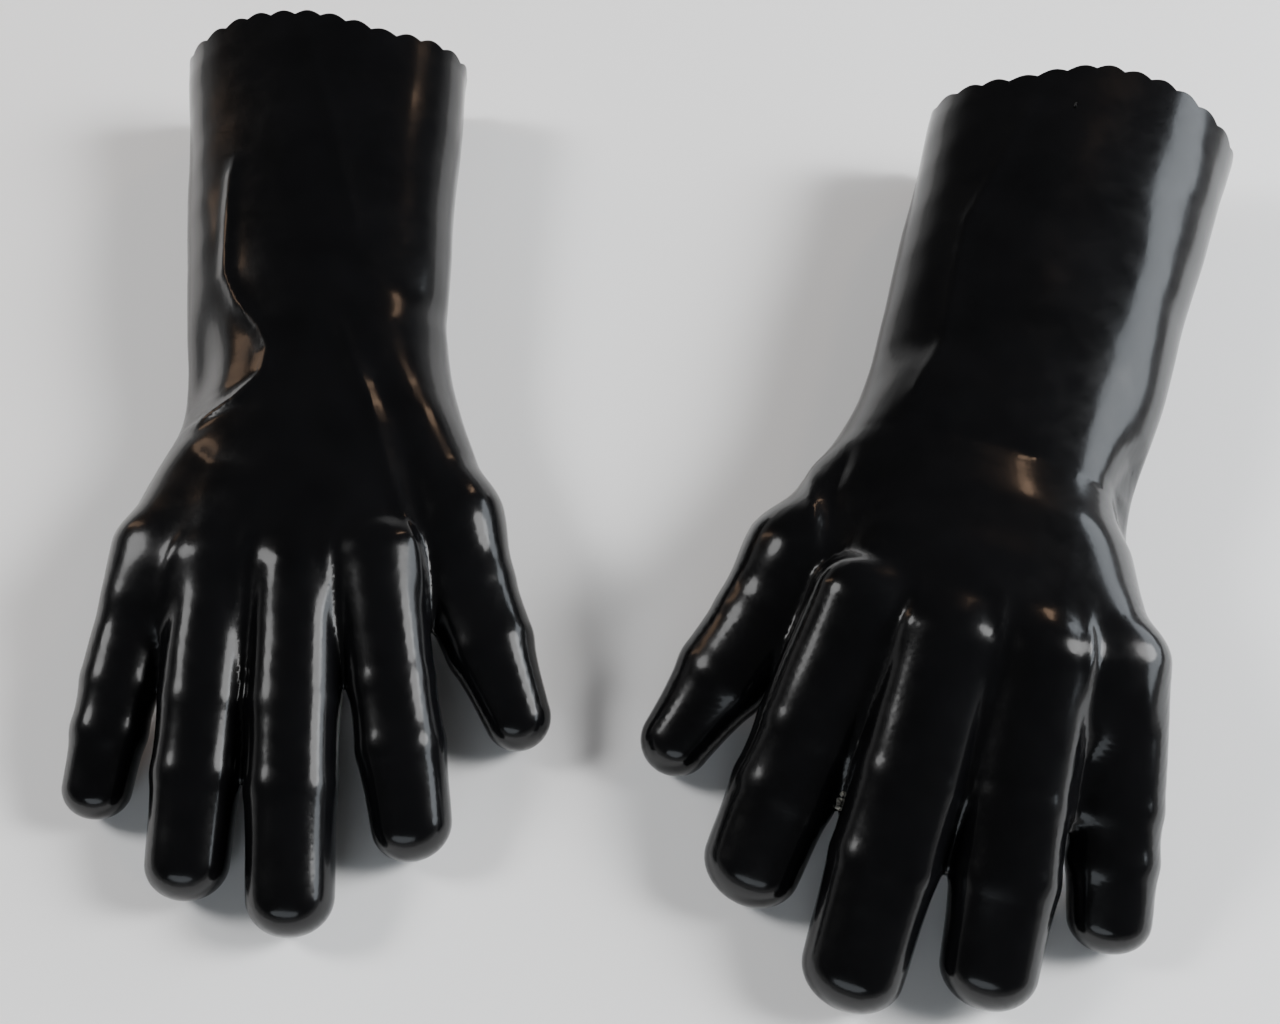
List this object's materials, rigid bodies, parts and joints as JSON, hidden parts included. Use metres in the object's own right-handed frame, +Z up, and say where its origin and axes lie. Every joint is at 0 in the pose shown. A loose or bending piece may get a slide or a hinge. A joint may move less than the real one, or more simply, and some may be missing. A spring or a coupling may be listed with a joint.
{
  "type": "pair of rubber gauntlet gloves",
  "caption": "Pair of glossy black dipped gauntlet gloves with scalloped cuffs, knitted linings and jointed fingers, thumbs and wrists, lying palm down.",
  "frame": {"origin": "middle of the pair's footprint, on the surface it lies on", "axes": "+Z up, -Y towards the fingertips, +Y towards the cuffs, +X towards the left-hand glove"},
  "size_m": [0.4368, 0.3988, 0.073],
  "materials": {
    "black_coating": "high gloss, dipped",
    "cotton_lining": "knitted jersey",
    "seam_thread": "overlocked thread"
  },
  "bodies": {
    "right_gauntlet": {"right_gauntlet_coat": "black_coating", "right_gauntlet_lining": "cotton_lining", "right_lining_seam": "seam_thread"},
    "right_hand": {"right_hand_coat": "black_coating", "right_hand_lining": "cotton_lining"},
    "right_thumb_lower": {"right_thumb_lower_coat": "black_coating", "right_thumb_lower_lining": "cotton_lining"},
    "right_thumb_tip": {"right_thumb_tip_coat": "black_coating", "right_thumb_tip_lining": "cotton_lining"},
    "right_index_lower": {"right_index_lower_coat": "black_coating", "right_index_lower_lining": "cotton_lining"},
    "right_index_tip": {"right_index_tip_coat": "black_coating", "right_index_tip_lining": "cotton_lining"},
    "right_middle_lower": {"right_middle_lower_coat": "black_coating", "right_middle_lower_lining": "cotton_lining"},
    "right_middle_tip": {"right_middle_tip_coat": "black_coating", "right_middle_tip_lining": "cotton_lining"},
    "right_ring_lower": {"right_ring_lower_coat": "black_coating", "right_ring_lower_lining": "cotton_lining"},
    "right_ring_tip": {"right_ring_tip_coat": "black_coating", "right_ring_tip_lining": "cotton_lining"},
    "right_little_lower": {"right_little_lower_coat": "black_coating", "right_little_lower_lining": "cotton_lining"},
    "right_little_tip": {"right_little_tip_coat": "black_coating", "right_little_tip_lining": "cotton_lining"},
    "left_gauntlet": {"left_gauntlet_coat": "black_coating", "left_gauntlet_lining": "cotton_lining", "left_lining_seam": "seam_thread"},
    "left_hand": {"left_hand_coat": "black_coating", "left_hand_lining": "cotton_lining"},
    "left_thumb_lower": {"left_thumb_lower_coat": "black_coating", "left_thumb_lower_lining": "cotton_lining"},
    "left_thumb_tip": {"left_thumb_tip_coat": "black_coating", "left_thumb_tip_lining": "cotton_lining"},
    "left_index_lower": {"left_index_lower_coat": "black_coating", "left_index_lower_lining": "cotton_lining"},
    "left_index_tip": {"left_index_tip_coat": "black_coating", "left_index_tip_lining": "cotton_lining"},
    "left_middle_lower": {"left_middle_lower_coat": "black_coating", "left_middle_lower_lining": "cotton_lining"},
    "left_middle_tip": {"left_middle_tip_coat": "black_coating", "left_middle_tip_lining": "cotton_lining"},
    "left_ring_lower": {"left_ring_lower_coat": "black_coating", "left_ring_lower_lining": "cotton_lining"},
    "left_ring_tip": {"left_ring_tip_coat": "black_coating", "left_ring_tip_lining": "cotton_lining"},
    "left_little_lower": {"left_little_lower_coat": "black_coating", "left_little_lower_lining": "cotton_lining"},
    "left_little_tip": {"left_little_tip_coat": "black_coating", "left_little_tip_lining": "cotton_lining"}
  },
  "joints": [
    {"name": "right_wrist_bend", "type": "hinge", "parent": "right_gauntlet", "child": "right_hand", "pos_m": [-0.14669, 0.01609, 0.0255], "axis": [-0.9981, -0.061, 0], "range_deg": [-25, 45], "stiffness_Nm_per_rad": 1.2},
    {"name": "right_thumb_base_bend", "type": "hinge", "parent": "right_hand", "child": "right_thumb_lower", "pos_m": [-0.08175, -0.05463, 0.02293], "axis": [0.9367, 0.3502, 0], "range_deg": [-15, 40], "stiffness_Nm_per_rad": 0.25},
    {"name": "right_thumb_tip_bend", "type": "hinge", "parent": "right_thumb_lower", "child": "right_thumb_tip", "pos_m": [-0.07379, -0.07591, 0.01933], "axis": [0.9367, 0.3502, 0], "range_deg": [-15, 45], "stiffness_Nm_per_rad": 0.15},
    {"name": "right_index_base_bend", "type": "hinge", "parent": "right_hand", "child": "right_index_lower", "pos_m": [-0.10701, -0.09307, 0.02711], "axis": [0.9848, 0.1736, 0], "range_deg": [-15, 50], "stiffness_Nm_per_rad": 0.25},
    {"name": "right_index_tip_bend", "type": "hinge", "parent": "right_index_lower", "child": "right_index_tip", "pos_m": [-0.10331, -0.11409, 0.02179], "axis": [0.9848, 0.1736, 0], "range_deg": [-15, 45], "stiffness_Nm_per_rad": 0.15},
    {"name": "right_middle_base_bend", "type": "hinge", "parent": "right_hand", "child": "right_middle_lower", "pos_m": [-0.13928, -0.10149, 0.02865], "axis": [0.999, 0.0436, 0], "range_deg": [-15, 50], "stiffness_Nm_per_rad": 0.25},
    {"name": "right_middle_tip_bend", "type": "hinge", "parent": "right_middle_lower", "child": "right_middle_tip", "pos_m": [-0.13809, -0.12875, 0.02235], "axis": [0.999, 0.0436, 0], "range_deg": [-15, 45], "stiffness_Nm_per_rad": 0.15},
    {"name": "right_ring_base_bend", "type": "hinge", "parent": "right_hand", "child": "right_ring_lower", "pos_m": [-0.16999, -0.09897, 0.02687], "axis": [0.9994, -0.0349, 0], "range_deg": [-15, 50], "stiffness_Nm_per_rad": 0.25},
    {"name": "right_ring_tip_bend", "type": "hinge", "parent": "right_ring_lower", "child": "right_ring_tip", "pos_m": [-0.17084, -0.12322, 0.02082], "axis": [0.9994, -0.0349, 0], "range_deg": [-15, 45], "stiffness_Nm_per_rad": 0.15},
    {"name": "right_little_base_bend", "type": "hinge", "parent": "right_hand", "child": "right_little_lower", "pos_m": [-0.20171, -0.09087, 0.02184], "axis": [0.989, -0.1478, 0], "range_deg": [-15, 50], "stiffness_Nm_per_rad": 0.25},
    {"name": "right_little_tip_bend", "type": "hinge", "parent": "right_little_lower", "child": "right_little_tip", "pos_m": [-0.20413, -0.10711, 0.01744], "axis": [0.989, -0.1478, 0], "range_deg": [-15, 40], "stiffness_Nm_per_rad": 0.15},
    {"name": "left_glove_lift", "type": "slide", "parent": "right_gauntlet", "child": "left_gauntlet", "axis": [0, 0, 1], "range_m": [0, 0.12]},
    {"name": "left_wrist_bend", "type": "hinge", "parent": "left_gauntlet", "child": "left_hand", "pos_m": [0.10131, -0.02291, 0.0386], "axis": [-0.9455, 0.3256, 0], "range_deg": [-25, 45], "stiffness_Nm_per_rad": 1.2},
    {"name": "left_thumb_base_bend", "type": "hinge", "parent": "left_hand", "child": "left_thumb_lower", "pos_m": [0.01738, -0.07146, 0.03111], "axis": [0.7986, -0.6018, 0], "range_deg": [-15, 40], "stiffness_Nm_per_rad": 0.25},
    {"name": "left_thumb_tip_bend", "type": "hinge", "parent": "left_thumb_lower", "child": "left_thumb_tip", "pos_m": [0.00437, -0.08873, 0.02324], "axis": [0.7986, -0.6018, 0], "range_deg": [-15, 45], "stiffness_Nm_per_rad": 0.15},
    {"name": "left_index_base_bend", "type": "hinge", "parent": "left_hand", "child": "left_index_lower", "pos_m": [0.03307, -0.11299, 0.03487], "axis": [0.8949, -0.4462, 0], "range_deg": [-15, 50], "stiffness_Nm_per_rad": 0.25},
    {"name": "left_index_tip_bend", "type": "hinge", "parent": "left_index_lower", "child": "left_index_tip", "pos_m": [0.02441, -0.13038, 0.02455], "axis": [0.8949, -0.4462, 0], "range_deg": [-15, 45], "stiffness_Nm_per_rad": 0.15},
    {"name": "left_middle_base_bend", "type": "hinge", "parent": "left_hand", "child": "left_middle_lower", "pos_m": [0.06337, -0.13114, 0.03956], "axis": [0.9483, -0.3173, 0], "range_deg": [-15, 50], "stiffness_Nm_per_rad": 0.25},
    {"name": "left_middle_tip_bend", "type": "hinge", "parent": "left_middle_lower", "child": "left_middle_tip", "pos_m": [0.05531, -0.15521, 0.02773], "axis": [0.9483, -0.3173, 0], "range_deg": [-15, 45], "stiffness_Nm_per_rad": 0.15},
    {"name": "left_ring_base_bend", "type": "hinge", "parent": "left_hand", "child": "left_ring_lower", "pos_m": [0.0975, -0.1375, 0.03712], "axis": [0.9816, -0.1908, 0], "range_deg": [-15, 50], "stiffness_Nm_per_rad": 0.25},
    {"name": "left_ring_tip_bend", "type": "hinge", "parent": "left_ring_lower", "child": "left_ring_tip", "pos_m": [0.09325, -0.15936, 0.02577], "axis": [0.9816, -0.1908, 0], "range_deg": [-15, 45], "stiffness_Nm_per_rad": 0.15},
    {"name": "left_little_base_bend", "type": "hinge", "parent": "left_hand", "child": "left_little_lower", "pos_m": [0.13185, -0.1375, 0.0285], "axis": [0.9969, -0.0785, 0], "range_deg": [-15, 50], "stiffness_Nm_per_rad": 0.25},
    {"name": "left_little_tip_bend", "type": "hinge", "parent": "left_little_lower", "child": "left_little_tip", "pos_m": [0.1307, -0.15218, 0.02], "axis": [0.9969, -0.0785, 0], "range_deg": [-15, 40], "stiffness_Nm_per_rad": 0.15}
  ]
}
